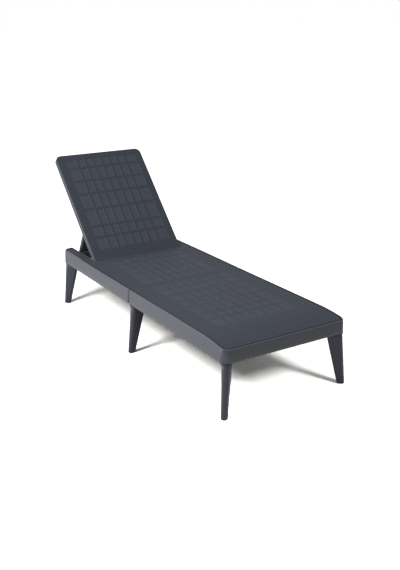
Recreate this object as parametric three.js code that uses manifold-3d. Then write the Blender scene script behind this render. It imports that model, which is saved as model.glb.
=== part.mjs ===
// Sun lounger of moulded resin. Two deck sections meet at a seam near the middle, six tapered
// legs plug into sockets under them, and a reclining backrest is held up by a folding stay whose
// feet stand on a toothed rack inside each rear rail.
// Millimetres, +Z up. X runs across the lounger, -Y is the foot end and +Y the head end.
import * as THREE from 'three';
import { mergeVertices } from 'three/addons/utils/BufferGeometryUtils.js';
import Module from 'manifold-3d';

const wasm = await Module();
wasm.setup();

// Overall sizes of the deck
const deckWidth = 600;
const footLength = 770;
const headLength = 743;
const deckHeight = 297;
const apronDepth = 65;
const apronDraft = 3;
const cornerRadius = 32;
const seamRadius = 9;

// Walls, edges and clearances of the mouldings
const skin = 3.6;
const wall = 3.4;
const lipRise = 3;
const lipWidth = 7;
const lipInnerRadius = 2;
const edgeRadius = 4;
const ribThickness = 3;
const ribDepth = 17;
const deckRibAcrossShares = [0.2, 0.4, 0.6, 0.8];
const deckRibAlongShares = [-0.5, 0, 0.5];
const touchGap = 0.3;
const overrun = 5;

// The deck bends down towards the foot end
const fallLength = 165;
const fallDrop = 14;

// Backrest and its hinge
const backLength = 640;
const backSideGap = 2;
const backThickness = 25;
const backCornerRadius = 30;
const backLean = THREE.MathUtils.degToRad(46.2);
const backRibAlongShares = [-0.7, -0.35, 0, 0.35, 0.7];
const backRibAcrossShares = [0.09, 0.6, 0.7, 0.8, 0.9];
const wellLength = 273;
const hingeGap = 2.5;
const hingePinRadius = 6;
const hingePinHeadRadius = 8;
const hingePinHeadLength = 3;
const hingePinReach = 22;

// Rear rails, their rack and the cross bar between them
const railWidth = 49;
const crossBarLength = 32;
const rackWidth = 22;
const rackPitch = 34;
const rackNotchDepth = 4;
const rackNotchesRearward = 1;
const rackNotchesForward = 2;
const rackFootRise = 23;
const rackClearance = 0.7;

// Folding stay
const stayPivotUp = 179;
const stayPivotBehind = 1.5;
const stayArmLength = 180;
const stayArmDepth = 20;
const stayArmThickness = 14;
const stayArmGap = 1.5;
const stayPlateStart = 26;
const stayPlateEnd = 130;
const stayPlateThickness = 7;
const stayPinRadius = 5;

// Legs
const collarDrop = 7;
const collarWall = 3;
const legInset = 2;
const legTopThickness = 35;
const legTopDepth = 66;
const legFootThickness = 27;
const legFootDepth = 31;
const legSplay = 22;
const legInnerRadius = 5;
const legFootRounding = 3;
const legWall = 3.2;
const legTenonLength = 42;
const legTenonDepth = 45;
const legTenonInset = 0.8;
const middleLegSetback = 21;

// Screws
const screwHeadRadius = 6;
const screwHeadLength = 3;
const screwShankRadius = 2.2;
const screwHoleGap = 0.3;
const legScrewLength = 13;
const legScrewRise = 29;
const screwAccessRadius = 7.5;
const joinScrewLength = 15;
const joinScrewRise = 24;
const joinBossRadius = 7;
const joinScrewShares = [-0.34, -0.125, 0.125, 0.34];

// Tongues of the head section that locate in the foot section
const tongueWidth = 64;
const tongueHeight = 9;
const tongueReach = 22;
const tongueShares = [-0.235, 0.235];

// Woven window pattern: shares of the patterned field, chosen to match the real one's uneven strips
const windowDepth = 1;
const windowColumnShares = [61, 38, 35, 38, 38, 35, 38, 61];
const windowColumnGap = 9.5;
const windowRowGap = 8.5;
const windowFieldWidth = 412;
const backRowShares = [70, 54, 95, 82, 70, 72, 49];
const headRowShares = [72, 82, 62, 70, 54];
const footRowShares = [70, 54, 82, 62, 72, 66, 58];
const backFieldStart = 62;
const backFieldMargin = 34;
const seamFieldMargin = 19;
const hingeFieldMargin = 55;
const footFieldMargin = 195;

// Facets
const cornerSteps = 7;
const seamSteps = 3;
const legArcSteps = 6;
const pinSides = 16;
const fallSteps = 8;

// Values worked out from the driving sizes
const halfWidth = deckWidth / 2;
const apronBottom = deckHeight - apronDepth;
const lipTop = deckHeight + lipRise;
const collarBottom = apronBottom - collarDrop;
const legScrewHeight = collarBottom + legScrewRise;
const joinScrewHeight = apronBottom + joinScrewRise;
const legReach = cornerRadius + apronDraft - legInset;
const wellHalfWidth = halfWidth - railWidth;
const backWidth = 2 * (wellHalfWidth - backSideGap);
const backHalf = backThickness / 2;
const hingeHeight = deckHeight - backHalf;
const hingeSetback = headLength - wellLength;
const deckEdge = hingeSetback - backHalf - hingeGap;
const crossBarTop = hingeHeight - backHalf - touchGap;
const crossBarStart = headLength - crossBarLength;
const seamGap = touchGap / 2;
const backSideInner = backWidth / 2 - wall;
const stayArmOuter = backSideInner - stayArmGap;
const stayArmInner = stayArmOuter - stayArmThickness;
const stayFootRadius = stayArmDepth / 2;
const rackFootHeight = apronBottom + rackFootRise;
const rackTop = rackFootHeight - stayFootRadius - rackClearance;

// Solids

function toSolid(geometry) {
  const bare = new THREE.BufferGeometry();
  bare.setAttribute('position', geometry.getAttribute('position').clone());
  if (geometry.index) bare.setIndex(geometry.index.clone());
  const merged = mergeVertices(bare, 1e-4);
  return new wasm.Manifold(new wasm.Mesh({
    numProp: 3,
    vertProperties: new Float32Array(merged.attributes.position.array),
    triVerts: new Uint32Array(merged.index.array),
  }));
}

function toGeometry(solid) {
  const { vertProperties, triVerts } = solid.getMesh();
  const geometry = new THREE.BufferGeometry();
  geometry.setAttribute('position', new THREE.BufferAttribute(new Float32Array(vertProperties), 3));
  geometry.setIndex(new THREE.BufferAttribute(new Uint32Array(triVerts), 1));
  geometry.computeVertexNormals();
  return geometry;
}

function box(x0, x1, y0, y1, z0, z1) {
  const geometry = new THREE.BoxGeometry(x1 - x0, y1 - y0, z1 - z0);
  geometry.translate((x0 + x1) / 2, (y0 + y1) / 2, (z0 + z1) / 2);
  return toSolid(geometry);
}

// A rod along X between x0 and x1
function rodAcross(radius, x0, x1, y, z, sides = pinSides) {
  const geometry = new THREE.CylinderGeometry(radius, radius, x1 - x0, sides);
  geometry.rotateZ(Math.PI / 2);
  geometry.translate((x0 + x1) / 2, y, z);
  return toSolid(geometry);
}

// A rod along Y between y0 and y1
function rodAlong(radius, y0, y1, x, z, sides = pinSides) {
  const geometry = new THREE.CylinderGeometry(radius, radius, y1 - y0, sides);
  geometry.translate(x, (y0 + y1) / 2, z);
  return toSolid(geometry);
}

const addAll = (solid, others) => others.reduce((sum, other) => sum.add(other), solid);
const cutAll = (solid, others) => others.reduce((rest, other) => rest.subtract(other), solid);

// Closed skin through a stack of rings. Every ring lists its right half from front to back and
// then its left half from back to front, so point i and point n-1-i face each other across the
// middle and the end caps are strips between them.
function loft(rings) {
  const count = rings[0].length;
  const half = count / 2;
  const positions = rings.flat().flatMap((point) => [point.x, point.y, point.z]);
  const faces = [];
  const quad = (a, b, c, d) => faces.push(a, b, c, a, c, d);
  for (let ring = 0; ring < rings.length - 1; ring += 1) {
    for (let i = 0; i < count; i += 1) {
      const low = ring * count;
      const high = low + count;
      const next = (i + 1) % count;
      quad(low + i, low + next, high + next, high + i);
    }
  }
  const top = (rings.length - 1) * count;
  for (let i = 0; i < half - 1; i += 1) {
    const mirror = count - 1 - i;
    quad(i, mirror, mirror - 1, i + 1);
    quad(top + i, top + i + 1, top + mirror - 1, top + mirror);
  }
  const geometry = new THREE.BufferGeometry();
  geometry.setAttribute('position', new THREE.Float32BufferAttribute(positions, 3));
  geometry.setIndex(faces);
  return toSolid(geometry);
}

function arcPoints(cx, cy, radius, fromDeg, toDeg, steps) {
  return Array.from({ length: steps + 1 }, (_, i) => {
    const angle = THREE.MathUtils.degToRad(fromDeg + (toDeg - fromDeg) * i / steps);
    return new THREE.Vector2(cx + radius * Math.cos(angle), cy + radius * Math.sin(angle));
  });
}

const mirrored = (right) => [...right, ...right.map((p) => new THREE.Vector2(-p.x, p.y)).reverse()];

// Deck sections

// How far the deck has dropped at y, with the foot end at -footLength
function fall(y) {
  const into = THREE.MathUtils.clamp((fallLength - footLength - y) / fallLength, 0, 1);
  return fallDrop * into * into;
}

// Outline of a deck section from front to back, moved inwards by inset. Its outer faces lean out
// by lean; the end face at the seam stays upright and can have an inset of its own.
function deckOutline(front, back, inset, lean, seamInset = inset) {
  const atSeam = { front: front > -footLength / 2, back: back < headLength / 2 };
  const edge = halfWidth - inset + lean;
  const near = atSeam.front ? front + seamInset : front + inset - lean;
  const far = atSeam.back ? back - seamInset : back - inset + lean;
  const rounding = (seam) => (
    seam ? Math.max(seamRadius - inset, edgeRadius / 2) : cornerRadius - inset + lean);
  const nearRadius = rounding(atSeam.front);
  const farRadius = rounding(atSeam.back);
  const steps = (seam) => (seam ? seamSteps : cornerSteps);
  const stationStart = -footLength + cornerRadius + apronDraft;
  const stationEnd = -footLength + fallLength;
  const stations = Array.from({ length: fallSteps }, (_, i) => (
    stationStart + (stationEnd - stationStart) * (i + 1) / fallSteps));
  return mirrored([
    ...arcPoints(edge - nearRadius, near + nearRadius, nearRadius, -90, 0, steps(atSeam.front)),
    ...stations.filter((y) => y > front + cornerRadius).map((y) => new THREE.Vector2(edge, y)),
    ...arcPoints(edge - farRadius, far - farRadius, farRadius, 0, 90, steps(atSeam.back)),
  ]);
}

// levels: [inset, lean, height, inset at the seam] from the bottom up. The part of each level
// that lies above the apron's bottom edge follows the fall of the deck.
function deckBody(front, back, levels) {
  const fallZone = deckHeight - edgeRadius - apronBottom;
  return loft(levels.map(([inset, lean, height, seamInset]) => (
    deckOutline(front, back, inset, lean, seamInset).map((p) => {
      const follow = THREE.MathUtils.clamp((height - apronBottom) / fallZone, 0, 1);
      return new THREE.Vector3(p.x, p.y, height - fall(p.y) * follow);
    }))));
}

function deckShell(front, back) {
  const outer = deckBody(front, back, [
    [0, apronDraft, apronBottom],
    [0, 0, lipTop - edgeRadius],
    [edgeRadius * 0.3, 0, lipTop - edgeRadius * 0.3],
    [edgeRadius, 0, lipTop],
  ]);
  const hollow = deckBody(front, back, [
    [wall, apronDraft, apronBottom - overrun],
    [wall, apronDraft, apronBottom],
    [wall, 0, deckHeight - skin],
  ]);
  const field = deckBody(front, back, [
    [lipWidth, 0, deckHeight, -overrun],
    [lipWidth - lipInnerRadius, 0, lipTop, -overrun],
    [lipWidth - lipInnerRadius, 0, lipTop + overrun, -overrun],
  ]);
  return { outer, shell: outer.subtract(hollow), field };
}

// Cutters for a grid of windows over y0..y1, whose bottoms follow the deck's fall
function windowCutters(y0, y1, rowShares, topAt) {
  const spread = (shares, start, end, gap) => {
    const total = shares.reduce((sum, share) => sum + share, 0);
    const usable = end - start - gap * (shares.length - 1);
    let at = start;
    return shares.map((share) => {
      const from = at;
      const to = from + usable * share / total;
      at = to + gap;
      return [from, to];
    });
  };
  const columns = spread(windowColumnShares, -windowFieldWidth / 2, windowFieldWidth / 2, windowColumnGap);
  const rows = spread(rowShares, y0, y1, windowRowGap);
  return rows.flatMap(([rowStart, rowEnd]) => columns.map(([left, right]) => {
    const corner = (x, y, rise) => new THREE.Vector3(x, y, topAt(y) + rise);
    const ring = (rise) => [
      corner(right, rowStart, rise), corner(right, rowEnd, rise),
      corner(left, rowEnd, rise), corner(left, rowStart, rise),
    ];
    return loft([ring(-windowDepth), ring(overrun / 2)]);
  }));
}

// Crossing ribs under the deck, from the skin down
function ribGrid(xs, ys, x0, x1, y0, y1, underside) {
  const across = ys.map((y) => box(x0, x1, y - ribThickness / 2, y + ribThickness / 2,
    underside - ribDepth, underside + skin / 2));
  const along = xs.map((x) => box(x - ribThickness / 2, x + ribThickness / 2, y0, y1,
    underside - ribDepth, underside + skin / 2));
  return [...across, ...along];
}

// Legs and their sockets. In a leg's own frame +Y points in under the deck, and the origin is on
// the floor below the centre of the frame's corner rounding.

function legOutline(height, grow) {
  const down = THREE.MathUtils.clamp(1 - height / collarBottom, 0, 1);
  const radius = THREE.MathUtils.lerp(legTopThickness, legFootThickness, down) / 2 + grow;
  const depth = THREE.MathUtils.lerp(legTopDepth, legFootDepth, down) + 2 * grow;
  const outer = -legReach - legSplay * down - grow;
  const inner = Math.max(legInnerRadius + grow, legInnerRadius / 3);
  const halfStep = 45 / legArcSteps;
  return mirrored([
    ...arcPoints(0, outer + radius, radius, -90 + halfStep, 0, legArcSteps),
    ...arcPoints(radius - inner, outer + depth - inner, inner, 0, 90, 2),
  ]);
}

const legRing = (height, grow, shapeHeight = height) => (
  legOutline(shapeHeight, grow).map((p) => new THREE.Vector3(p.x, p.y, height)));

// The tenon has the outer half of the blade's top, cut short at its inner end
function tenonRing(height, grow) {
  const cutBack = legTopDepth - legTenonDepth;
  const middle = legTenonDepth / 2 - legReach;
  return legOutline(collarBottom, grow).map((p) => (
    new THREE.Vector3(p.x, p.y > middle ? p.y - cutBack : p.y, height)));
}

const screwHoleRadius = screwShankRadius + screwHoleGap;
const legShoulder = collarBottom - touchGap;
const tenonTop = collarBottom + legTenonLength;
const tenonInner = legTenonDepth - legReach - legTenonInset;
const socketWallInner = tenonInner + touchGap + collarWall;
const socketRoof = tenonTop + touchGap + wall;
const screwSeat = socketWallInner + touchGap;

function makeLeg() {
  const blade = loft([
    legRing(0, -legFootRounding),
    legRing(legFootRounding * 0.3, -legFootRounding * 0.3),
    legRing(legFootRounding, 0),
    legRing(legShoulder, 0),
  ]);
  const tenon = loft([
    tenonRing(legShoulder - legWall, -legTenonInset),
    tenonRing(tenonTop, -legTenonInset),
  ]);
  const hollow = loft([
    legRing(legFootRounding + legWall, -legWall),
    legRing(legShoulder - legWall, -legWall),
  ]);
  const mouth = loft([
    tenonRing(legShoulder - legWall * 2, -legWall - legTenonInset),
    tenonRing(tenonTop + overrun, -legWall),
  ]);
  const pilot = rodAlong(screwHoleRadius, 0, tenonInner + overrun, 0, legScrewHeight, pinSides / 2);
  return blade.add(tenon).subtract(hollow).subtract(mouth).subtract(pilot);
}

// Turn about Z that points a leg's own +Y from its place to the middle of its section
const legPlaces = {
  leg_front_left: { x: cornerRadius - halfWidth, y: cornerRadius - footLength, turn: -45 },
  leg_front_right: { x: halfWidth - cornerRadius, y: cornerRadius - footLength, turn: 45 },
  leg_middle_left: { x: cornerRadius - halfWidth, y: -middleLegSetback, turn: -90 },
  leg_middle_right: { x: halfWidth - cornerRadius, y: -middleLegSetback, turn: 90 },
  leg_rear_left: { x: cornerRadius - halfWidth, y: headLength - cornerRadius, turn: -135 },
  leg_rear_right: { x: halfWidth - cornerRadius, y: headLength - cornerRadius, turn: 135 },
};

function placed(solid, { x, y, turn }) {
  const matrix = new THREE.Matrix4().makeRotationZ(THREE.MathUtils.degToRad(turn)).setPosition(x, y, 0);
  return solid.transform(matrix.elements);
}

// Adds leg sockets to a deck section: a collar round the top of the blade, which ends flush with
// the apron, and a boss round the tenon with a hole for its screw
function withSockets(section, outer, names) {
  const boss = loft([
    tenonRing(collarBottom, touchGap - legTenonInset + collarWall),
    tenonRing(socketRoof, touchGap - legTenonInset + collarWall),
  ]);
  const collar = loft([
    legRing(collarBottom, collarWall, collarBottom),
    legRing(apronBottom + edgeRadius / 2, collarWall, collarBottom),
    legRing(apronBottom + edgeRadius, legInset - apronDraft, collarBottom),
  ]);
  const socket = loft([
    tenonRing(collarBottom - overrun, touchGap - legTenonInset),
    tenonRing(tenonTop + touchGap, touchGap - legTenonInset),
  ]);
  const screwHole = rodAlong(screwHoleRadius, 0, screwSeat + overrun, 0, legScrewHeight, pinSides / 2);
  const access = rodAlong(screwAccessRadius, socketWallInner, railWidth, 0, legScrewHeight);
  let result = section;
  for (const name of names) {
    const at = legPlaces[name];
    result = result.subtract(placed(access, at));
    result = result.add(placed(boss, at).intersect(outer)).add(placed(collar, at));
    result = result.subtract(placed(socket, at)).subtract(placed(screwHole, at));
  }
  return result;
}

// Screws: pan head, plain shank and a pointed end, along +Y with the head's seat at 0
function makeScrew(length) {
  const profile = [
    [0, -length],
    [screwShankRadius * 0.4, -length],
    [screwShankRadius, -length + screwShankRadius * 1.5],
    [screwShankRadius, 0],
    [screwHeadRadius, 0],
    [screwHeadRadius, screwHeadLength * 0.45],
    [screwHeadRadius * 0.7, screwHeadLength],
    [0, screwHeadLength],
  ].map(([x, y]) => new THREE.Vector2(x, y));
  return toSolid(new THREE.LatheGeometry(profile, pinSides / 2));
}

const joinScrewXs = joinScrewShares.map((share) => share * deckWidth);
const tongueXs = tongueShares.map((share) => share * deckWidth);
const tongueTop = deckHeight - skin - ribDepth / 4;

function makeFootSection() {
  const { outer, shell, field } = deckShell(-footLength, -seamGap);
  const inner = halfWidth - wall / 2;
  const underside = deckHeight - skin;
  const flatEnd = -footLength + fallLength;
  const ribYs = deckRibAcrossShares.map((share) => flatEnd * share);
  const ribXs = deckRibAlongShares.map((share) => halfWidth * share);
  let section = addAll(shell, ribGrid(ribXs, ribYs, -inner, inner, flatEnd, -wall / 2, underside)
    .map((rib) => rib.intersect(outer)));
  section = withSockets(section, outer,
    ['leg_front_left', 'leg_front_right', 'leg_middle_left', 'leg_middle_right']);
  section = addAll(section, joinScrewXs.map((x) => (
    rodAlong(joinBossRadius, -joinScrewLength, -wall / 2, x, joinScrewHeight))));
  section = cutAll(section, joinScrewXs.map((x) => (
    rodAlong(screwHoleRadius, -joinScrewLength - overrun, overrun, x, joinScrewHeight, pinSides / 2))));
  const slotHalf = tongueWidth / 2 + touchGap;
  section = cutAll(section, tongueXs.map((x) => box(x - slotHalf, x + slotHalf,
    -tongueReach - touchGap, overrun, tongueTop - tongueHeight - touchGap, tongueTop + touchGap)));
  section = section.subtract(field);
  return cutAll(section, windowCutters(footFieldMargin - footLength, -seamFieldMargin,
    footRowShares, (y) => deckHeight - fall(y)));
}

// Rack on the inner face of one rear rail: a shelf with round notches for the stay's feet
const backSine = Math.sin(backLean);
const backCosine = Math.cos(backLean);
const stayPivotY = hingeSetback + stayPivotUp * backCosine + stayPivotBehind * backSine;
const stayPivotZ = hingeHeight + stayPivotUp * backSine - stayPivotBehind * backCosine;
const stayDrop = stayPivotZ - rackFootHeight;
const stayAngle = Math.asin(stayDrop / stayArmLength);
const stayFootY = stayPivotY + stayArmLength * Math.cos(stayAngle);
const rackForwardEnd = stayFootY - (rackNotchesForward + 0.6) * rackPitch;

function rack(side) {
  const outer = wellHalfWidth + wall / 2;
  const inner = wellHalfWidth - rackWidth;
  const [x0, x1] = side < 0 ? [-outer, -inner] : [inner, outer];
  const shelf = box(x0, x1, rackForwardEnd, headLength - wall / 2, apronBottom, rackTop);
  const notchRadius = stayFootRadius + touchGap;
  const notches = Array.from({ length: rackNotchesForward + rackNotchesRearward + 1 }, (_, i) => (
    rodAcross(notchRadius, -overrun - rackWidth, overrun + rackWidth,
      stayFootY + (rackNotchesRearward - i) * rackPitch, rackTop - rackNotchDepth + notchRadius)
      .translate([(x0 + x1) / 2, 0, 0])));
  return { shelf, notches };
}

function makeHeadSection() {
  const { outer, shell, field } = deckShell(seamGap, headLength);
  const inner = halfWidth - wall / 2;
  const underside = deckHeight - skin;
  const ribYs = deckRibAcrossShares.map((share) => deckEdge * share);
  const ribXs = deckRibAlongShares.map((share) => halfWidth * share);
  let section = addAll(shell,
    ribGrid(ribXs, ribYs, -inner, inner, wall / 2, deckEdge - wall / 2, underside));
  const high = lipTop + overrun;
  const low = apronBottom - overrun;
  const past = headLength + overrun * 2;
  const well = box(-wellHalfWidth, wellHalfWidth, deckEdge, past, crossBarTop, high);
  const wellFloor = box(-wellHalfWidth, wellHalfWidth, deckEdge, crossBarStart, low, high);
  const railMiddle = wellHalfWidth + wall / 2;
  const railInside = (side) => box(side * railMiddle - wall / 2, side * railMiddle + wall / 2,
    deckEdge - wall, headLength - wall / 2, apronBottom, deckHeight - skin / 2);
  section = section.subtract(well).subtract(wellFloor);
  section = addAll(section, [
    railInside(-1),
    railInside(1),
    box(-wellHalfWidth - wall, wellHalfWidth + wall, deckEdge - wall, deckEdge,
      apronBottom, deckHeight - skin / 2),
    box(-wellHalfWidth, wellHalfWidth, crossBarStart, crossBarStart + wall, apronBottom, crossBarTop),
    box(-wellHalfWidth, wellHalfWidth, crossBarStart, headLength - wall / 2,
      crossBarTop - skin, crossBarTop),
  ]);
  for (const side of [-1, 1]) {
    const { shelf, notches } = rack(side);
    const slot = side < 0
      ? box(-wellHalfWidth, -wellHalfWidth + rackWidth + wall, rackForwardEnd, past, rackTop, high)
      : box(wellHalfWidth - rackWidth - wall, wellHalfWidth, rackForwardEnd, past, rackTop, high);
    section = cutAll(section.add(shelf).subtract(slot), notches);
  }
  section = withSockets(section, outer, ['leg_rear_left', 'leg_rear_right']);
  const tongues = tongueXs.map((x) => box(x - tongueWidth / 2, x + tongueWidth / 2,
    -tongueReach, wall, tongueTop - tongueHeight, tongueTop));
  section = addAll(section, tongues);
  section = cutAll(section, joinScrewXs.map((x) => (
    rodAlong(screwHoleRadius, -overrun, wall + overrun, x, joinScrewHeight, pinSides / 2))));
  const boreEnd = halfWidth - railWidth / 2;
  section = section.subtract(
    rodAcross(hingePinRadius + touchGap, -boreEnd, boreEnd, hingeSetback, hingeHeight));
  section = section.subtract(field);
  return cutAll(section, windowCutters(seamFieldMargin, deckEdge - hingeFieldMargin,
    headRowShares, () => deckHeight));
}

// Backrest, in its own frame: X across, Y up the panel from the hinge axis, Z out of its front

function backOutline(inset) {
  const edge = backWidth / 2 - inset;
  const radius = Math.max(backCornerRadius - inset, edgeRadius);
  return mirrored([
    new THREE.Vector2(edge, 0),
    ...arcPoints(edge - radius, backLength - inset - radius, radius, 0, 90, cornerSteps),
  ]);
}

const backRing = (inset, z) => backOutline(inset).map((p) => new THREE.Vector3(p.x, p.y, z));

function makeBackrest() {
  const front = backHalf;
  const panel = loft([
    backRing(0, -front),
    backRing(0, front - edgeRadius),
    backRing(edgeRadius * 0.3, front - edgeRadius * 0.3),
    backRing(edgeRadius, front),
  ]);
  const barrel = rodAcross(backHalf, -backWidth / 2, backWidth / 2, 0, 0, pinSides * 2);
  const hollow = loft([backRing(wall, -front - overrun), backRing(wall, front - skin)])
    .subtract(rodAcross(backHalf, -backWidth / 2, backWidth / 2, 0, 0, pinSides * 2));
  const skinBack = front - skin;
  const nestStart = stayPivotUp - stayArmDepth;
  const nestEnd = stayPivotUp + stayArmLength + stayArmDepth;
  const deepRib = skinBack - ribDepth;
  const shallowRib = stayPlateThickness / 2 + ribThickness - stayPivotBehind;
  const ribXs = backRibAlongShares.map((share) => backWidth / 2 * share);
  const ribYs = backRibAcrossShares.map((share) => backLength * share);
  const ribAlong = (x, y0, y1, z0) => (
    box(x - ribThickness / 2, x + ribThickness / 2, y0, y1, z0, front - skin / 2));
  const along = ribXs.flatMap((x) => [
    ribAlong(x, 0, nestStart, deepRib),
    ribAlong(x, nestStart - ribThickness, nestEnd + ribThickness, shallowRib),
    ribAlong(x, nestEnd, backLength - wall / 2, deepRib),
  ]);
  const across = ribYs.map((y) => (
    box(-backWidth / 2 + wall / 2, backWidth / 2 - wall / 2, y - ribThickness / 2, y + ribThickness / 2,
      deepRib, front - skin / 2)));
  let back = addAll(panel.subtract(hollow).add(barrel), [...along, ...across]);
  const bore = hingePinRadius + touchGap;
  back = cutAll(back, [-1, 1].map((side) => {
    const deep = backWidth / 2 - hingePinReach - touchGap;
    const end = backWidth / 2 + overrun;
    return side < 0 ? rodAcross(bore, -end, -deep, 0, 0) : rodAcross(bore, deep, end, 0, 0);
  }));
  back = cutAll(back, [-1, 1].map((side) => {
    const end = backWidth / 2 + overrun;
    const deep = backSideInner - overrun / 5;
    const [x0, x1] = side < 0 ? [-end, -deep] : [deep, end];
    return rodAcross(stayPinRadius + touchGap, x0, x1, stayPivotUp, -stayPivotBehind);
  }));
  return cutAll(back, windowCutters(backFieldStart, backLength - backFieldMargin, backRowShares, () => front));
}

// Stay, in its own frame: origin on its pivot, Y along the arms to the feet, Z towards the rear

function makeStay() {
  const armShape = new THREE.Shape();
  armShape.absarc(0, 0, stayFootRadius, Math.PI / 2, Math.PI * 3 / 2);
  armShape.absarc(stayArmLength, 0, stayFootRadius, -Math.PI / 2, Math.PI / 2);
  const armGeometry = new THREE.ExtrudeGeometry(armShape, {
    depth: stayArmThickness, bevelEnabled: false, curveSegments: pinSides / 2,
  });
  // The outline is drawn in the arm's side view and stood up across X
  armGeometry.applyMatrix4(new THREE.Matrix4().makeBasis(
    new THREE.Vector3(0, 1, 0), new THREE.Vector3(0, 0, 1), new THREE.Vector3(1, 0, 0)));
  const arm = toSolid(armGeometry);
  const plate = box(-stayArmInner - stayArmThickness / 2, stayArmInner + stayArmThickness / 2,
    stayPlateStart, stayPlateEnd, -stayPlateThickness / 2, stayPlateThickness / 2);
  const stiffener = (y) => box(-stayArmInner - stayArmThickness / 2, stayArmInner + stayArmThickness / 2,
    y - ribThickness / 2, y + ribThickness / 2, -stayFootRadius + ribThickness, stayPlateThickness / 2);
  const stay = addAll(plate, [
    stiffener(stayPlateStart + ribThickness / 2),
    stiffener(stayPlateEnd - ribThickness / 2),
    arm.translate([stayArmInner, 0, 0]),
    arm.translate([-stayArmOuter, 0, 0]),
  ]);
  const bores = [-1, 1].map((side) => {
    const [x0, x1] = side < 0
      ? [-stayArmOuter - overrun, -stayArmInner - wall]
      : [stayArmInner + wall, stayArmOuter + overrun];
    return rodAcross(stayPinRadius + touchGap, x0, x1, 0, 0);
  });
  return cutAll(stay, bores);
}

// Pins along +X, with the open end at 0

function makeHingePin() {
  const reach = hingePinReach;
  const stem = hingeWallSpan + reach;
  const profile = [
    [0, 0],
    [hingePinRadius * 0.8, 0],
    [hingePinRadius, hingePinRadius * 0.2],
    [hingePinRadius, stem],
    [hingePinHeadRadius, stem],
    [hingePinHeadRadius, stem + hingePinHeadLength * 0.6],
    [hingePinHeadRadius * 0.85, stem + hingePinHeadLength],
    [0, stem + hingePinHeadLength],
  ].map(([x, y]) => new THREE.Vector2(x, y));
  return toSolid(new THREE.LatheGeometry(profile, pinSides));
}

const hingeWallSpan = wellHalfWidth + wall + touchGap - backWidth / 2;
const stayPinInner = stayArmInner + wall + touchGap;
const stayPinOuter = backWidth / 2 - touchGap;

function makeStayPin() {
  const length = stayPinOuter - stayPinInner;
  const profile = [
    [0, 0],
    [stayPinRadius * 0.8, 0],
    [stayPinRadius, stayPinRadius * 0.2],
    [stayPinRadius, length],
    [0, length],
  ].map(([x, y]) => new THREE.Vector2(x, y));
  return toSolid(new THREE.LatheGeometry(profile, pinSides));
}

// Materials

const finish = (hex, roughness, metalness = 0) => (
  new THREE.MeshStandardMaterial({ color: hex, roughness, metalness }));
const deckResin = finish('#50535b', 0.55);
const backResin = finish('#474a53', 0.55);
const legResin = finish('#4c4f58', 0.5);
const stayResin = finish('#44474f', 0.55);
const pinResin = finish('#3a3c42', 0.45);
const screwSteel = finish('#9a9c9e', 0.35, 1);

// Assembly

const lounger = new THREE.Group();
const frame = new THREE.Group();
lounger.add(frame);

function piece(name, solid, material, parent = frame) {
  const mesh = new THREE.Mesh(toGeometry(solid), material);
  mesh.name = name;
  parent.add(mesh);
  return mesh;
}

piece('foot_section', makeFootSection(), deckResin);
piece('head_section', makeHeadSection(), deckResin);

const leg = makeLeg();
const legScrew = makeScrew(legScrewLength);
for (const [name, { x, y, turn }] of Object.entries(legPlaces)) {
  const stand = new THREE.Group();
  stand.position.set(x, y, 0);
  stand.rotation.z = THREE.MathUtils.degToRad(turn);
  frame.add(stand);
  piece(name, leg, legResin, stand);
  const screw = piece(name.replace('leg_', 'leg_screw_'), legScrew, screwSteel, stand);
  screw.position.set(0, screwSeat, legScrewHeight);
}

const joinScrew = makeScrew(joinScrewLength);
joinScrewXs.forEach((x, i) => {
  const screw = piece(`joining_screw_${i + 1}`, joinScrew, screwSteel);
  screw.position.set(x, seamGap + wall + touchGap, joinScrewHeight);
});

const backrest = new THREE.Group();
backrest.position.set(0, hingeSetback, hingeHeight);
backrest.rotation.x = backLean;
frame.add(backrest);
piece('backrest', makeBackrest(), backResin, backrest);

const hingePin = makeHingePin();
for (const [side, name] of [[-1, 'hinge_pin_left'], [1, 'hinge_pin_right']]) {
  const pin = piece(name, hingePin, pinResin);
  pin.position.set(side * (backWidth / 2 - hingePinReach), hingeSetback, hingeHeight);
  pin.rotation.z = -side * Math.PI / 2;
}

const stayPin = makeStayPin();
for (const [side, name] of [[-1, 'stay_pin_left'], [1, 'stay_pin_right']]) {
  const pin = piece(name, stayPin, pinResin, backrest);
  pin.position.set(side * stayPinInner, stayPivotUp, -stayPivotBehind);
  pin.rotation.z = -side * Math.PI / 2;
}

const stay = piece('stay', makeStay(), stayResin);
stay.position.set(0, stayPivotY, stayPivotZ);
stay.rotation.x = -stayAngle;

// The origin is on the floor below the middle of the whole lounger
lounger.updateMatrixWorld(true);
const extent = new THREE.Box3().setFromObject(lounger, true);
frame.position.y = -(extent.min.y + extent.max.y) / 2;
lounger.updateMatrixWorld(true);

export default lounger;
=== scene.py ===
# %% [markdown]
# # A sun lounger of moulded resin
# The real lounger is injection-moulded polypropylene: two deck sections that meet at a seam, six
# tapered legs, and a reclining backrest held by a folding stay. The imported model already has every
# piece at its true size. This lesson lays a finer surface over it: the woven relief of the deck
# and backrest, the raised lip, smooth legs, and finishes named for the plastics they are.

import math

import bmesh
import bpy
import numpy as np
from mathutils import Matrix, Vector


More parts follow.
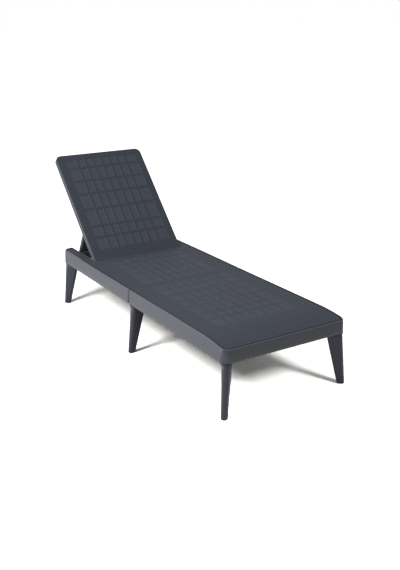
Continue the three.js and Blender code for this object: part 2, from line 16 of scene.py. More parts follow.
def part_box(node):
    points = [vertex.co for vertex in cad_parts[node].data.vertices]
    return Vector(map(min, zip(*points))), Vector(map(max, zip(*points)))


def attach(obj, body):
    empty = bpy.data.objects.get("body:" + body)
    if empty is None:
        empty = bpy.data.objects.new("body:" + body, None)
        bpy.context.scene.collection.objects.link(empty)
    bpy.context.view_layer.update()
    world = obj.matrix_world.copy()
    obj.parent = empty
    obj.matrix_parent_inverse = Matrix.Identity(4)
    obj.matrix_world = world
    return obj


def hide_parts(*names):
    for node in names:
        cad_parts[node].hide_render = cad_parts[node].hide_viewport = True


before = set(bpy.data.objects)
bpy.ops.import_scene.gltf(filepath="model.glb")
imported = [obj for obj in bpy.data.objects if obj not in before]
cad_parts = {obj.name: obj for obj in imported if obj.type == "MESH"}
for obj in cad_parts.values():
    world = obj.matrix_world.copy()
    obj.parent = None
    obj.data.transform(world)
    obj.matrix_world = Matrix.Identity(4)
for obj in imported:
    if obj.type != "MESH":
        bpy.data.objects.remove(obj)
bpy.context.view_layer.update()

# %% [markdown]
# ## Sizes
# Blender works in metres, so each real size is written in millimetres and multiplied once. The
# seam between the two deck sections is the place that everything else is counted from, and it is
# read from the model, because the model's own origin sits under the middle of its bounding box.

# %% Sizes of the deck
MM = 0.001
half_play = 0.15 * MM  # each deck section ends this far from the seam
seam_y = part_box("foot_section")[1].y + half_play
deck_half = 300 * MM
foot_length = 770 * MM
head_length = 743 * MM
deck_height = 297 * MM
apron_depth = 65 * MM
corner_radius = 32 * MM
well_half = 251 * MM
well_start = 455 * MM
proud = 0.4 * MM  # the skins stand this far out from the model's faces, and so cover them
print("seam at y", round(seam_y, 4), "deck", deck_half * 2, "by", foot_length + head_length)

# %% [markdown]
# ## The pattern of windows
# The moulder imitates woven strips: a field of upright windows in uneven rows and columns, each a
# little lower than the strips between them. Rows and columns are kept as shares of the field, so
# a list of edges comes from one running sum. The same edges place the relief and the grid lines,
# and that keeps every window crisp without a very fine mesh.

# %% Edges of the windows
column_shares = np.array([61, 38, 35, 38, 38, 35, 38, 61], float)
back_row_shares = np.array([70, 54, 95, 82, 70, 72, 49], float)
head_row_shares = np.array([72, 82, 62, 70, 54], float)
foot_row_shares = np.array([70, 54, 82, 62, 72, 66, 58], float)
column_gap = 9.5 * MM
row_gap = 8.5 * MM
field_width = 412 * MM
back_field = 62 * MM, 606 * MM
seam_margin = 19 * MM
hinge_margin = 55 * MM
foot_margin = 195 * MM


def window_edges(shares, start, end, gap):
    """Start and end of each window: the shares divide what the gaps leave of start..end, and
    window i begins after the windows and gaps before it."""
    widths = (end - start - gap * (len(shares) - 1)) * shares / shares.sum()
    starts = start + np.concatenate([[0.0], np.cumsum(widths + gap)[:-1]])
    return np.stack([starts, starts + widths], 1)


columns = window_edges(column_shares, -field_width / 2, field_width / 2, column_gap)
rows_on_back = window_edges(back_row_shares, *back_field, row_gap)
rows_on_head = window_edges(head_row_shares, seam_margin, well_start - hinge_margin, row_gap)
rows_on_foot = window_edges(foot_row_shares, -foot_length + foot_margin, -seam_margin, row_gap)
print("windows", len(columns) * (len(rows_on_back) + len(rows_on_head) + len(rows_on_foot)))

# %% [markdown]
# ## Lines that carry the pattern
# The top of each panel is a grid whose lines sit where the surface bends: at the rounded rim, at
# the ramps inside each window's edges and at the slits, with even lines for the weave between. The
# real weave repeats every 2 to 4 mm and its slits every 3.5 mm or so. Both are finer than the
# picture can show, so the weave is drawn at 13 mm on the deck and 16 mm on the backrest, and the
# slits at 7 mm.

# %% Lines at the slits and at the windows' edges
deck_pitch = 13 * MM
back_pitch = 16 * MM
slit_pitch = 7 * MM
ramp = 0.9 * MM
deck_ramp = 1.8 * MM  # across the deck, where the edges are drawn softer


def slit_lines(edges):
    """Lines inside each window, half a slit apart: the count of slits is the window's width over
    slit_pitch, rounded."""
    inside = edges + np.array([2 * ramp, -2 * ramp])
    counts = [2 * int(round((high - low) / slit_pitch)) + 1 for low, high in inside]
    return [np.linspace(low, high, count) for (low, high), count in zip(inside, counts)]


def slit_relief(lines, edges):
    """-1 at every second slit line, 0 at the others and straight between them."""
    total = np.zeros(len(lines))
    for inside in slit_lines(edges):
        total += np.interp(lines, inside, -(np.arange(len(inside)) % 2), left=0, right=0)
    return total


def in_windows(lines, edges, width):
    """1 inside a window, 0 outside, and a straight ramp of the given width between, which starts
    one width inside the window's edge."""
    rise = (lines[:, None] - edges[None, :, 0]) / width - 1
    drop = (edges[None, :, 1] - lines[:, None]) / width - 1
    return np.clip(np.minimum(rise, drop), 0, 1).max(1)


def edge_lines(edges, width):
    """Two lines inside each edge of each window, where its ramp starts and ends."""
    return np.ravel(edges[:, :, None] + np.array([[[1], [-1]]]) * np.array([1, 2]) * width)


print("slits in each window of the backrest", [len(lines) // 2 for lines in slit_lines(columns)])

# %% All lines of a panel
close_share = 0.4
# A panel's rim bends at these distances from its edge
rim_lines = np.array(
    [0.25, 0.6, 1, 1.5, 2.2, 3, 4.6, 5.6, 6.2, 6.9, 7.6, 9.6, 12.2, 13.2, 14.2]
) * MM


def merged_lines(wanted, start, end, step):
    """The wanted lines, with regular lines a step apart wherever no wanted line is close."""
    regular = np.linspace(start, end, int(round((end - start) / step)) + 1)
    distance = np.abs(regular[:, None] - wanted[None, :]).min(1)
    lines = np.concatenate([wanted, regular[distance > close_share * step]])
    lines = np.unique(np.round(lines, 6))
    return lines[(lines >= start - 1e-9) & (lines <= end + 1e-9)]


def panel_lines(start, end, rim_at, edges, slits, pitch, extra=(), width=ramp):
    """All lines of one direction: the ends, the fine lines of each rounded rim, the windows'
    edges, the slits where they run across it, and a quarter of the weave's pitch between."""
    parts = [[start, end], extra, edge_lines(edges, width)]
    parts += [start + rim_lines] if rim_at[0] else []
    parts += [end - rim_lines] if rim_at[1] else []
    parts += slit_lines(edges) if slits else []
    return merged_lines(np.concatenate(parts), start, end, pitch / 4)


print("fine lines at a rim", len(rim_lines))

# %% [markdown]
# ## One skin for every moulding
# A moulded panel is a plate with a turned-down wall. Its top is a grid bent into the panel's plan,
# and a wall drops from each free edge of the grid. The corner rule is a small piece of geometry:
# nested squares become nested quarter circles, so the grid lines flow round a corner and the
# distance to the rim stays exact, which the lip profile needs.

# %% Plan of a panel with rounded corners
def rounded_plan(xs, ys, radii):
    """Grid points (x, y). In the square that holds a corner arc of radius r, the offset (a, b)
    from the arc's centre becomes (a, b) * max(a, b) / hypot(a, b); elsewhere nothing moves.
    radii gives r for the corners (low x, low y), (high x, low y), (low x, high y) and
    (high x, high y)."""
    x, y = np.meshgrid(xs, ys, indexing="ij")
    out_x, out_y = x.copy(), y.copy()
    for index, radius in enumerate(radii):
        sign_x, sign_y = (-1, 1)[index % 2], (-1, 1)[index // 2]
        centre_x = (xs[-1] if sign_x > 0 else xs[0]) - sign_x * radius
        centre_y = (ys[-1] if sign_y > 0 else ys[0]) - sign_y * radius
        a, b = (x - centre_x) * sign_x, (y - centre_y) * sign_y
        inside = (a > 0) & (b > 0)
        scale = np.maximum(a, b) / np.maximum(np.hypot(a, b), 1e-9)
        out_x = np.where(inside, centre_x + sign_x * a * scale, out_x)
        out_y = np.where(inside, centre_y + sign_y * b * scale, out_y)
    return out_x, out_y


square = np.array([0.0, 1.0])
corner_x, corner_y = rounded_plan(square, square, (0, 0, 0, 1))
print("a unit square's rounded corner is at", corner_x[1, 1].round(3), corner_y[1, 1].round(3))


# %% Cells, free edges and the way out from them
def grid_cells(shape, solid):
    """Four corner numbers of each solid cell of a grid, anticlockwise as seen from above. shape
    counts the grid's lines each way."""
    number = np.arange(shape[0] * shape[1]).reshape(shape)
    cells = np.stack([number[:-1, :-1], number[1:, :-1], number[1:, 1:], number[:-1, 1:]], -1)
    return cells[solid]


def free_edges(cells):
    """Directed edges that only one cell has, so the outside lies to their right."""
    pairs = np.concatenate([cells[:, [k, (k + 1) % 4]] for k in range(4)])
    size = pairs.max() + 1
    code = pairs[:, 0] * size + pairs[:, 1]
    back = pairs[:, 1] * size + pairs[:, 0]
    return pairs[~np.isin(back, code)]


def outward(edges, plan):
    """Plan normal of each edge vertex: the mean of its two edges' right-hand normals."""
    step = plan[edges[:, 1]] - plan[edges[:, 0]]
    normal = np.stack([step[:, 1], -step[:, 0]], 1) / np.linalg.norm(step, axis=1)[:, None]
    total = np.zeros((len(plan), 2))
    np.add.at(total, edges[:, 0], normal)
    np.add.at(total, edges[:, 1], normal)
    return total / np.maximum(np.linalg.norm(total, axis=1), 1e-9)[:, None]


print("free edges of a two by two grid", len(free_edges(grid_cells((3, 3), np.ones((2, 2), bool)))))

# %% A mesh object from arrays
crease_angle = math.radians(42)


def new_piece(name, points, faces, slots=None, marks=None):
    """Object with its place in its mesh. slots holds each face's material number, 0 if not given,
    and marks holds one number per vertex for the finish."""
    mesh = bpy.data.meshes.new(name)
    mesh.from_pydata(points, [], faces)
    for mark, values in (marks or {}).items():
        layer = mesh.attributes.new(mark, "FLOAT", "POINT")
        layer.data.foreach_set("value", values.astype(np.float32))
    if slots is not None:
        mesh.polygons.foreach_set("material_index", slots.astype(np.int32))
    mesh.polygons.foreach_set("use_smooth", np.ones(len(mesh.polygons), bool))
    mesh.set_sharp_from_angle(angle=crease_angle)
    mesh.update()
    piece = bpy.data.objects.new(name, mesh)
    bpy.context.scene.collection.objects.link(piece)
    return piece


print("edges sharper than", round(math.degrees(crease_angle)), "degrees stay creased")


# %% Under side of a skin
def under_rows(solid, on_rim):
    """Under side as long rungs, one for each run of solid cells in each row of the grid. A rung
    takes in every rim vertex along its two sides, so no edge is left open."""
    rungs = []
    for row in range(solid.shape[1]):
        steps = np.flatnonzero(np.diff(np.concatenate([[0], solid[:, row].astype(int), [0]])))
        for first, last in steps.reshape(-1, 2):
            sides = []
            for line in (row, row + 1):
                taken = on_rim[first : last + 1, line].copy()
                taken[[0, -1]] = True
                sides.append((np.flatnonzero(taken) + first) * on_rim.shape[1] + line)
            rungs.append(np.concatenate([sides[0][::-1], sides[1]]))
    return rungs


one_row = under_rows(np.ones((2, 1), bool), np.ones((3, 2), bool))
print("rungs under one row of cells", len(one_row))


# %% Close a skin from its top grid, its wall rings and its under side
def panel_skin(name, top, under, solid, rings_of, plan, lip, marks):
    """Closed skin. solid says which cells of the grid exist, plan is each top point's x and y
    before any turn, lip is 1 where the top is as smooth as the wall, and rings_of(rim, outward
    plan normals) gives the wall's rings from the rim down."""
    shape = solid.shape[0] + 1, solid.shape[1] + 1
    cells = grid_cells(shape, solid)
    edges = free_edges(cells)
    rim = np.unique(edges)
    rings = rings_of(rim, outward(edges, plan)[rim])
    at_rim = np.zeros(len(top), int)
    at_rim[rim] = np.arange(len(rim))
    count, below = len(top), len(top) + len(rings) * len(rim)
    points = np.concatenate([top, *rings, under])
    levels = [edges]
    levels += [count + k * len(rim) + at_rim[edges] for k in range(len(rings))]
    levels += [below + edges]
    walls = [
        np.stack([high[:, 0], low[:, 0], low[:, 1], high[:, 1]], 1)
        for high, low in zip(levels[:-1], levels[1:])
    ]
    on_rim = np.zeros(count, bool)
    on_rim[rim] = True
    rungs = [below + rung for rung in under_rows(solid, on_rim.reshape(shape))]
    used = np.unique(np.concatenate([cells.ravel(), *[wall.ravel() for wall in walls], *rungs]))
    number = np.zeros(len(points), int)
    number[used] = np.arange(len(used))
    quads = number[np.concatenate([cells, *walls])].tolist()
    faces = quads + [number[rung].tolist() for rung in rungs]

    def spread(values):
        """The top's values, repeated down the wall and on the under side."""
        return np.concatenate([values, *[values[rim]] * len(rings), values])[used]

    marks = {mark: spread(values.ravel()) for mark, values in marks.items()}
    slots = np.ones(len(faces))
    slots[: len(cells)] = lip.ravel()[cells].mean(1) > 0.5
    piece = new_piece(name, points[used], faces, slots, marks)
    print(name, len(cells) * 2, "triangles on top,", len(used), "points")
    return piece


# %% [markdown]
# ## Relief of the weave
# Between the windows the mould imitates a basket weave, a product of two sines, which gives rows of
# small pillows that swap places from row to row. Inside a window it has slits, upright on the
# backrest and across on the deck. Both are real relief in the mesh, so light from the side picks
# them out as it does on the lounger.

# %% Height of the weave over a panel
weave_height = 0.7 * MM
slit_depth = 0.5 * MM
weave_fade = 2 * MM


def weave_relief(xs, ys, rows, woven, pitch, width, slits):
    """Height, relief from -1 to 1, and window mark. Outside the windows the relief is
    sin(2 pi x / pitch) * sin(2 pi y / pitch) where woven is 1, and inside them it is the slits'.
    width is that of the ramps across the panel."""
    window = in_windows(xs, columns, width)[:, None] * in_windows(ys, rows, ramp)[None, :]
    basket = np.sin(2 * np.pi * xs / pitch)[:, None] * np.sin(2 * np.pi * ys / pitch)[None, :]
    height = woven * (1 - window) * basket * weave_height + window * slits * slit_depth
    relief = woven * (1 - window) * basket + window * (2 * slits + 1)
    return height, relief, window


print("relief from", -weave_height, "to", weave_height)

# %% [markdown]
# ## The deck
# Both deck sections have the same lip: the apron turns over with a small rounding, runs level for
# a moment and drops into a fine groove that frames the woven field. The foot section has a plain
# margin inside the groove and also bends down towards its end, by the square of the distance into
# the bend. At the corners the apron stands a little proud, like a round post that carries on into
# the leg below. Beside the well a low bead runs along each rail.

# %% Heights of the deck
lip_rise = 3 * MM
lip_height = deck_height + lip_rise + proud
field_proud = 2.2 * MM  # where the field ends up over the model's deck
window_depth = 0.7 * MM
fall_length = 165 * MM
fall_drop = 14 * MM
lip_end = 6.2 * MM
groove_end = 13.2 * MM
# Distance from the rim, and height over the lip
lip_profile = np.array(
    [
        [0.0, -3.0],
        [0.25, -1.85],
        [0.6, -1.2],
        [1.0, -0.75],
        [1.5, -0.4],
        [2.2, -0.12],
        [3.0, 0.0],
        [4.6, -0.03],
        [5.6, -0.25],
        [6.2, -1.1],
        [6.9, -2.3],
        [7.6, -3.1],
        [12.2, -3.2],
        [13.2, -2.0],
        [14.2, -1.2],
    ]
) * MM
bead_height = 2.6 * MM
bead_width = 6 * MM
bead_rise = 8 * MM
tiny = 0.01 * MM


def rim_height(distance):
    """Height over the floor by distance from the outer rim: rounding, lip, groove, then field."""
    return np.interp(distance, lip_profile[:, 0], lip_height + lip_profile[:, 1])


def deck_fall(y):
    """Drop of the deck at y: fall_drop * t squared, with t from 0 to 1 through the bend."""
    t = np.clip((fall_length - foot_length - y) / fall_length, 0, 1)
    return fall_drop * t**2


def rail_bead(x, y):
    """Height of the bead beside the well: bead_height at the well's edge, down to 0 over
    bead_width, and up from 0 over bead_rise where the rail begins."""
    past_well = np.abs(x) - well_half
    across = np.clip(1 - past_well / bead_width, 0, 1) * (past_well > -tiny)
    return bead_height * across * np.clip((y - well_start) / bead_rise, 0, 1)


print("lip", round(lip_height, 4), "field", round(float(rim_height(1.0)), 4), "high")

# %% Lines of a deck section
deck_side = deck_half + proud
rim_radius = corner_radius + proud
post_step = 1.2 * MM
bead_steps = 0, 2 * MM, 4 * MM, 6 * MM


def deck_lines(start, end, rows, foot_end):
    """Lines across and along a section, and its outer rim's y. Extra lines follow the posts of
    its corners, the beads and the well's edge."""
    rim_y, inwards = (start, 1) if foot_end else (end, -1)
    extra_x = [deck_side - rim_radius, deck_side - rim_radius + post_step]
    extra_y = [rim_y + inwards * rim_radius, rim_y + inwards * (rim_radius - post_step)]
    if not foot_end:
        extra_x += [well_half + step for step in bead_steps]
        extra_y += [well_start]
    extra_x += [-x for x in extra_x]
    rims_x, rims_y = (True, True), (foot_end, not foot_end)
    xs = panel_lines(-deck_side, deck_side, rims_x, columns, False, deck_pitch, extra_x, deck_ramp)
    ys = panel_lines(start, end, rims_y, rows, True, deck_pitch, extra_y)
    return xs, ys, rim_y


print("a section is", deck_side * 2, "wide with its skin")

# %% Top of a deck section
plain_margin = 18 * MM
plain_band = 42 * MM  # in front of the hinge, where the deck has no weave
# painted shade: the groove's relief mark makes its finish dark in place of the lip's shadow
groove_painted_shade = -0.9  # the groove's relief mark, which the finish shows dark


def deck_top(xs, ys, radii, rim_y, rows, margin):
    """Top points, their distances from the outer rim, and the marks for the finish. The height is
    the rim's profile, plus the relief and the bead, less the windows' depth and the fall."""
    x, y = rounded_plan(xs, ys, radii)
    flat_x, flat_y = np.meshgrid(xs, ys, indexing="ij")
    distance = np.minimum(deck_side - np.abs(flat_x), np.abs(flat_y - rim_y))
    woven = np.clip((distance - margin) / weave_fade, 0, 1)
    plain = (np.abs(flat_x) < well_half) & (flat_y > well_start - plain_band)
    woven = np.where(plain, 0.0, woven)
    slits = slit_relief(ys, rows)[None, :]
    height, relief, window = weave_relief(xs, ys, rows, woven, deck_pitch, deck_ramp, slits)
    # painted shade in the groove: its relief mark darkens the colour there
    relief = np.where((distance > lip_end) & (distance < groove_end), groove_painted_shade, relief)
    bead = rail_bead(flat_x, flat_y)
    z = rim_height(distance) + height - window * window_depth - deck_fall(y) + bead
    top = np.stack([x, y, z], -1).reshape(-1, 3)
    return top, distance, {"window": window, "relief": relief}


print("plain in front of the hinge for", plain_band)

# %% Rings down the apron
apron_draft = 3 * MM
post_proud = 0.7 * MM
skin_depth = 3.4 * MM  # from the field down to the skin's own under side
wall_inset = 1.5 * MM  # the inner wall and the under side stand this far inside the rim
tuck = 0.3 * MM  # the wall reaches this far below the apron and turns in by as much
# Share of the way down, inset and share of the post's bulge for each ring of the apron
apron_rings = (
    (0.08, 0, 0),
    (0.11, 0, 1),
    (0.4, 0, 1),
    (0.7, 0, 1),
    (0.99, 0, 1),
    (1, tuck, 1),
    (1, wall_inset, 0),
    (0.9, wall_inset, 0),
)
print("the apron's wall has", len(apron_rings), "rings")

# %% Build the deck sections
seam_radius = 9 * MM
well_inset = 0.5 * MM
skin_play = 0.1 * MM  # each skin ends this far from the seam


def deck_skin(name, start, end, rows, foot_end):
    """Skin from start to end of the deck, counted from the seam. Its wall leans out by the
    apron's draft as it drops, and its under side stays hidden inside the moulding's wall."""
    xs, ys, rim_y = deck_lines(start, end, rows, foot_end)
    radii = [rim_radius, rim_radius, seam_radius, seam_radius]
    radii = radii if foot_end else radii[::-1]
    margin = plain_margin if foot_end else groove_end
    top, distance, marks = deck_top(xs, ys, radii, rim_y, rows, margin)
    middle_x, middle_y = (xs[:-1] + xs[1:]) / 2, (ys[:-1] + ys[1:]) / 2
    solid = ~((np.abs(middle_x)[:, None] < well_half) & (middle_y[None, :] > well_start))
    flat_x, flat_y = np.meshgrid(xs, ys, indexing="ij")
    into_x = np.abs(flat_x).ravel() - (deck_side - rim_radius)
    into_y = rim_radius - np.abs(flat_y - rim_y).ravel()
    bulge = post_proud * np.clip(np.minimum(into_x, into_y) / post_step, 0, 1)
    place = np.array([0, seam_y, 0])

    def rings_of(rim, normal):
        """Rings down the apron: each goes a share of the way down, a share of the draft out and
        an inset in. Round the well they only drop a little way."""
        at = top[rim]
        well = (np.abs(at[:, 0]) <= well_half + 1e-6) & (at[:, 1] >= well_start - 1e-6)
        sideways = np.stack([at[:, 0] / deck_side, 0 * at[:, 0]], 1)
        lean = np.where((into_y[rim] > 0)[:, None], normal, sideways) * apron_draft
        full = at[:, 2] - (deck_height - apron_depth - tuck)
        rings = []
        for share, inset, post_share in apron_rings:
            ring = at.copy()
            ring[:, :2] += lean * share + normal * (bulge[rim] * post_share - inset)[:, None]
            ring[:, 2] = at[:, 2] - full * share
            ring[well] = at[well]
            ring[well, 2] -= skin_depth * 0.1 * (1 + len(rings))
            rings.append(ring + place)
        return rings

    well_side = well_half + well_inset
    under_xs = np.interp(
        xs,
        [-deck_side, -well_half, well_half, deck_side],
        [wall_inset - deck_side, -well_side, well_side, deck_side - wall_inset],
    )
    well_y = [] if foot_end else [well_start]
    under_ys = np.interp(
        ys,
        [start, *well_y, end],
        [start + wall_inset, *(y - well_inset for y in well_y), end - wall_inset],
    )
    under_x, under_y = rounded_plan(under_xs, under_ys, [radius - wall_inset for radius in radii])
    under_z = deck_height + field_proud - skin_depth - deck_fall(under_y)
    under = np.stack([under_x, under_y, under_z], -1).reshape(-1, 3) + place
    lip = distance < lip_end
    return panel_skin(name, top + place, under, solid, rings_of, top[:, :2], lip, marks)


foot_end_y, head_end_y = -foot_length - proud, head_length + proud
foot_skin = deck_skin("foot_section_skin", foot_end_y, -skin_play, rows_on_foot, True)
head_skin = deck_skin("head_section_skin", skin_play, head_end_y, rows_on_head, False)
for skin in (foot_skin, head_skin):
    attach(skin, "frame")

# %% [markdown]
# ## The backrest
# The backrest is the same kind of skin, worked out flat and then turned about its hinge. Its rim is
# a plain rounding, and its lower edge wraps round the hinge barrel. Turning the finished arrays,
# rather than the object, leaves the object at the origin, where its finish is read.

# %% Sizes of the backrest, and its lean
back_length = 640 * MM
back_half_width = 249 * MM
back_half = 12.5 * MM
back_corner = 30 * MM
back_window_depth = 1.2 * MM
back_side = back_half_width + 0.2 * MM  # the skin covers the panel's sides
back_end = back_length + 0.1 * MM  # and its end
back_lean = math.radians(46.2)
hinge_setback, hinge_height = 470 * MM, 284.5 * MM
hinge = np.array([0, seam_y + hinge_setback, hinge_height])


def lean_back(points):
    """From the panel's frame (x across, y up the panel, z out of its front) to the lounger's:
    turned about X by the lean and moved to the hinge."""
    cosine, sine = math.cos(back_lean), math.sin(back_lean)
    x, y, z = points.T
    return np.stack([x, y * cosine - z * sine, y * sine + z * cosine], 1) + hinge


print("hinge at", hinge.round(4).tolist())

# %% Top of the backrest
back_margin = 7 * MM
crown_margin = 5 * MM
barrel_margin = 6 * MM
edge_fade = 4 * MM
crown_height = 0.6 * MM
# Distance from the rim, and height over the face
back_rim = np.array(
    [
        [0.0, -4.0],
        [0.25, -2.6],
        [0.6, -1.95],
        [1.0, -1.5],
        [1.5, -1.05],
        [2.2, -0.55],
        [3.0, -0.2],
        [4.4, 0.0],
    ]
) * MM


def back_top(xs, ys, radii):
    """Top points, their distances from the rim, and the marks for the finish, as deck_top gives
    them. The face is a low crown that ends before the rim and before the barrel."""
    x, y = rounded_plan(xs, ys, radii)
    flat_x, flat_y = np.meshgrid(xs, ys, indexing="ij")
    distance = np.minimum(back_side - np.abs(flat_x), back_end - flat_y)
    past_barrel = flat_y - barrel_margin
    woven = np.clip((distance - back_margin) / weave_fade, 0, 1)
    woven = woven * np.clip(past_barrel / edge_fade, 0, 1)
    slits = slit_relief(xs, columns)[:, None]
    height, relief, window = weave_relief(xs, ys, rows_on_back, woven, back_pitch, ramp, slits)
    rounding = np.interp(distance, back_rim[:, 0], back_rim[:, 1])
    from_edge = np.minimum(distance - crown_margin, past_barrel)
    crown = np.clip(from_edge / edge_fade, 0, 1) * crown_height
    z = back_half + proud + rounding + crown + height - window * back_window_depth
    top = np.stack([x, y, z], -1).reshape(-1, 3)
    return top, distance, {"window": window, "relief": relief}


print("the backrest's face stands", round(back_half + proud + crown_height, 4), "over its middle")

# %% Build the backrest's skin
back_lip_end = 3.1 * MM
# Degrees round the barrel, share of the panel's thickness and inset for each ring
back_rings = (
    (15, 0.1, 0),
    (40, 0.35, 0),
    (70, 0.6, 0),
    (100, 0.85, 0),
    (125, 0.97, 0),
    (145, 1.0, 0.4 * MM),
    (150, 1.0, wall_inset),
    (120, 0.6, wall_inset),
    (60, 0.3, wall_inset),
)


def backrest_skin():
    """Top grid with windows, walls down the sides, and a lower edge that follows the barrel's
    circle: (y, z) = radius * (-sin t, cos t)."""
    xs = panel_lines(-back_side, back_side, (True, True), columns, True, back_pitch)
    ys = panel_lines(0, back_end, (False, True), rows_on_back, False, back_pitch)
    radii = (0, 0, back_corner, back_corner)
    top, distance, marks = back_top(xs, ys, radii)

    def rings_of(rim, normal):
        """Rings by the angle round the barrel for the lower edge, and by the share of the panel's
        thickness for the other edges."""
        at = top[rim]
        barrel = at[:, 1] < 1e-6
        rings = []
        for turn, depth, inset in back_rings:
            ring = at.copy()
            ring[:, :2] -= normal * inset
            ring[:, 2] = at[:, 2] - (at[:, 2] + back_half) * depth
            radius = at[barrel, 2] - inset * 2
            angle = math.radians(turn)
            ring[barrel, 0] = at[barrel, 0] * (1 - inset / back_side)
            ring[barrel, 1] = -radius * math.sin(angle)
            ring[barrel, 2] = radius * math.cos(angle)
            rings.append(lean_back(ring))
        return rings

    under_radii = [max(radius - wall_inset, 0) for radius in radii]
    under_xs, under_ys = xs * (1 - wall_inset / back_side), ys * (1 - wall_inset / back_end)
    under_x, under_y = rounded_plan(under_xs, under_ys, under_radii)
    under_z = np.full_like(under_x, back_half - skin_depth)
    under = lean_back(np.stack([under_x, under_y, under_z], -1).reshape(-1, 3))
    solid = np.ones((len(xs) - 1, len(ys) - 1), bool)
    lip = distance < back_lip_end
    name, plan = "backrest_skin", top[:, :2]
    return panel_skin(name, lean_back(top), under, solid, rings_of, plan, lip, marks)


back_skin = backrest_skin()
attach(back_skin, "backrest")

# %% [markdown]
# ## The legs
# Each leg is a blade with a half-round outer edge and small inner corners, and it narrows and
# splays towards the floor. One function gives its outline at any height, and a stack of outlines
# gives its surface, pulled in at the bottom to round the foot and at the top for the dark joint
# line below the collar.

# %% Outline of a leg at a height
collar_bottom = deck_height - apron_depth - 7 * MM
# Width, depth and reach of the outer edge from the leg's place, at the collar and at the floor
leg_top = np.array([35, 66, 33]) * MM
leg_foot = np.array([27, 31, 55]) * MM
leg_corner = 5 * MM


def leg_outline(height, inset):
    """Right half and mirrored left half of the blade: a half circle at the outer end, straight
    sides, and small inner corners. Width, depth and reach run evenly from the collar down."""
    down = np.clip(1 - height / collar_bottom, 0, 1)
    width, depth, reach = leg_top + (leg_foot - leg_top) * down
    radius = width / 2 - inset
    outer, inner = inset - reach, depth - reach - inset
    corner = leg_corner - inset / 2
    outer_arc = np.radians(np.linspace(-90, 0, 15))
    inner_arc = np.radians(np.linspace(0, 90, 7))
    outer_x, outer_y = radius * np.cos(outer_arc), outer + radius + radius * np.sin(outer_arc)
    inner_x = radius - corner + corner * np.cos(inner_arc)
    inner_y = inner - corner + corner * np.sin(inner_arc)
    x, y = np.concatenate([outer_x, inner_x]), np.concatenate([outer_y, inner_y])
    return np.concatenate([np.stack([x, y], 1), np.stack([-x, y], 1)[:0:-1]])


print("points in a leg's outline", len(leg_outline(0, 0)))

# %% Surface of a leg
leg_tuck = 0.1 * MM
# Height and inset at the rounded foot, and at the joint line as seen from the collar's bottom
foot_levels = np.array([[0, 4], [0.15, 2.6], [0.8, 1.1], [1.8, 0.35], [3.2, 0]]) * MM
joint_levels = np.array([[-7, 0.5], [-6, 2.2], [-1, 2.2], [3, 1.8]]) * MM
blade_heights = np.linspace(6 * MM, collar_bottom - 8 * MM, 12)


def leg_surface(x, y, turn):
    """Outlines stacked from the floor up, turned and moved to the leg's place, with quads between
    them and one flat face at each end."""
    blade_levels = np.stack([blade_heights, 0 * blade_heights], 1)
    levels = np.concatenate([foot_levels, blade_levels, joint_levels + [collar_bottom, 0]])
    outlines = [leg_outline(height, inset + leg_tuck) for height, inset in levels]
    angle = math.radians(turn)
    spin = np.array([[math.cos(angle), math.sin(angle)], [-math.sin(angle), math.cos(angle)]])
    count = len(outlines[0])
    flat = np.concatenate([outline @ spin + [x, y + seam_y] for outline in outlines])
    points = np.concatenate([flat, np.repeat(levels[:, 0], count)[:, None]], 1)
    around = np.arange(count)
    following = (around + 1) % count
    ring = np.stack([around, following, following + count, around + count], 1)
    last = (len(levels) - 1) * count
    faces = np.concatenate([ring + low for low in range(0, last, count)]).tolist()
    return points, faces + [around[::-1].tolist(), (around + last).tolist()]


print("outlines up a leg", len(foot_levels) + len(blade_heights) + len(joint_levels))

# %% Build the legs
leg_x = deck_half - corner_radius
front_leg_y = corner_radius - foot_length
middle_leg_y = -21 * MM
rear_leg_y = head_length - corner_radius
# Place, and turn in degrees, so that each blade's outer edge points away from the deck
leg_places = {
    "leg_front_left": (-leg_x, front_leg_y, -45),
    "leg_front_right": (leg_x, front_leg_y, 45),
    "leg_middle_left": (-leg_x, middle_leg_y, -90),
    "leg_middle_right": (leg_x, middle_leg_y, 90),
    "leg_rear_left": (-leg_x, rear_leg_y, -135),
    "leg_rear_right": (leg_x, rear_leg_y, 135),
}
legs = []
for name, place in leg_places.items():
    points, faces = leg_surface(*place)
    leg = new_piece(name + "_blade", points, faces)
    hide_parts(name)
    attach(leg, "frame")
    legs.append(leg)
print("legs", len(legs), "with", len(points), "points each")

# %% [markdown]
# ## The stay
# The stay is a plain moulding of two flat arms and a cross plate. It needs softer edges rather than
# a new shape, so a merged copy of its model gets a Bevel, which rounds every sharp edge by the
# same small radius, as the mould does.

# %% Round the stay's edges
stay_rounding = 0.9 * MM


def softened_copy(node, width):
    """Merged copy of a node's mesh with a bevel of the given width on its sharp edges."""
    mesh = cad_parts[node].data.copy()
    shape = bmesh.new()
    shape.from_mesh(mesh)
    verts, edges, flat = shape.verts, shape.edges, math.radians(1)
    bmesh.ops.remove_doubles(shape, verts=verts, dist=tiny)
    bmesh.ops.dissolve_limit(shape, angle_limit=flat, verts=verts, edges=edges)
    shape.to_mesh(mesh)
    shape.free()
    mesh.materials.clear()
    mesh.shade_smooth()
    piece = bpy.data.objects.new(node + "_moulding", mesh)
    bpy.context.scene.collection.objects.link(piece)
    bevel = piece.modifiers.new("edge", "BEVEL")
    bevel.width = width
    bevel.segments = 2
    bevel.angle_limit = math.radians(40)
    bevel.harden_normals = True
    return piece


stay = softened_copy("stay", stay_rounding)
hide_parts("stay")
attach(stay, "stay")
print("stay", len(stay.data.polygons), "faces before the bevel")

# %% [markdown]
# ## Finishes
# Graphite-coloured polypropylene is slightly waxy: it is not a metal, its index of refraction is
# about 1.49, and a fine spark-eroded mould leaves it satin. Colours are read from hex values as
# they look on a screen, so one function turns them into the linear light that the shader wants.
# The etched grain of such a mould keeps the gloss low, so that scratches do not show. The real
# grain is finer than the picture can show, so it is drawn at about 0.8 mm.

